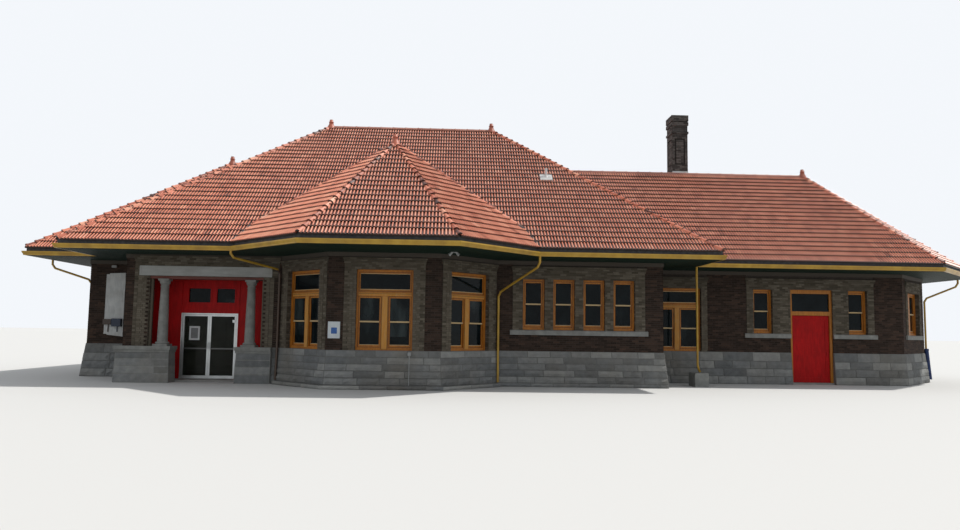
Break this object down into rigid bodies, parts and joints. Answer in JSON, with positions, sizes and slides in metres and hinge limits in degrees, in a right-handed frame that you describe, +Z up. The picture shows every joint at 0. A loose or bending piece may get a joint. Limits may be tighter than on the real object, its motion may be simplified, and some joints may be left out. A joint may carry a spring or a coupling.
{
  "type": "railway station building",
  "caption": "Single-storey brick railway station on a rock-faced stone base, with a hipped clay tile roof, an octagonal bay, a columned porch and an octagonal end.",
  "frame": {"origin": "centre of the plan at ground level", "axes": "+X along the front from left to right, +Y from the front to the rear, +Z up"},
  "size_m": [35.742, 17.009, 11.33],
  "materials": {
    "beam_paint": "brownish red paint",
    "board_paint": "white painted board",
    "brown_brick": "dark brown face brick",
    "buff_brick": "buff face brick",
    "ceiling_paint": "grey paint",
    "chimney_brick": "brown brick",
    "concrete_floor": "concrete",
    "door_aluminium": "satin anodised",
    "dressed_stone": "smooth grey limestone",
    "gutter_paint": "ochre yellow paint",
    "lamp_metal": "grey painted metal",
    "lintel_paint": "pale grey paint",
    "red_paint": "deep red paint",
    "roof_tile": "unglazed salmon red clay tile",
    "sign_enamel": "blue and white plain plate",
    "soffit_paint": "dark green painted boards",
    "stone_base": "rock-faced grey limestone courses",
    "vent_metal": "white painted metal",
    "window_glass": "clear glass",
    "window_timber": "ochre orange painted timber"
  },
  "bodies": {
    "building": {"left_wing_base": "stone_base", "porch_pedestals": "stone_base", "bay_base": "stone_base", "main_front_base": "stone_base", "right_end_base": "stone_base", "right_wing_rear_base": "stone_base", "rear_base": "stone_base", "left_wing_walls": "brown_brick", "porch_wall": "brown_brick", "bay_walls": "brown_brick", "main_front_wall": "brown_brick", "right_wing_wall_left": "brown_brick", "baggage_door_header": "brown_brick", "right_wing_wall_right": "brown_brick", "right_end_walls": "brown_brick", "right_wing_rear_wall": "brown_brick", "rear_walls": "brown_brick", "floor_slab": "concrete_floor", "main_front_slope": "roof_tile", "main_rear_slope": "roof_tile", "main_left_slope": "roof_tile", "main_right_slope": "roof_tile", "left_wing_roof": "roof_tile", "right_wing_roof": "roof_tile", "bay_roof": "roof_tile", "front_soffit": "soffit_paint", "rear_soffit": "soffit_paint", "front_gutter": "gutter_paint", "rear_gutter": "gutter_paint", "chimney": "chimney_brick", "ridge_finials": "roof_tile", "roof_vent_pipe": "vent_metal", "tall_window_frames": "window_timber", "small_window_frames": "window_timber", "upper_sashes": "window_timber", "lower_sashes": "window_timber", "window_glass": "window_glass", "buff_surrounds": "buff_brick", "stone_sills": "dressed_stone", "porch_side_walls": "brown_brick", "porch_ceiling": "ceiling_paint", "porch_beam": "beam_paint", "porch_lintel": "lintel_paint", "porch_columns": "dressed_stone", "entry_screen": "red_paint", "entry_top_lights": "window_glass", "entry_door_frame": "door_aluminium", "baggage_door_frame": "window_timber", "baggage_top_light": "window_glass", "wall_notice_board": "board_paint", "wall_fittings": "lamp_metal", "access_sign_plate": "sign_enamel", "bay_floodlight": "lamp_metal", "downspout_block": "stone_base", "downspouts": "gutter_paint"},
    "entry_left_leaf": {"entry_left_leaf": "door_aluminium", "entry_left_glass": "window_glass"},
    "entry_right_leaf": {"entry_right_leaf": "door_aluminium", "entry_right_glass": "window_glass"},
    "baggage_door": {"baggage_door": "red_paint"}
  },
  "joints": [
    {"name": "entry_left_hinge", "type": "hinge", "parent": "building", "child": "entry_left_leaf", "pos_m": [-12.264, -3.2875, 1.1], "axis": [0, 0, -1], "range_deg": [0, 80]},
    {"name": "entry_right_hinge", "type": "hinge", "parent": "building", "child": "entry_right_leaf", "pos_m": [-10.45, -3.2875, 1.1], "axis": [0, 0, 1], "range_deg": [0, 90]},
    {"name": "baggage_door_hinge", "type": "hinge", "parent": "building", "child": "baggage_door", "pos_m": [9.806, -1.4385, 1.3], "axis": [0, 0, 1], "range_deg": [0, 90]}
  ]
}
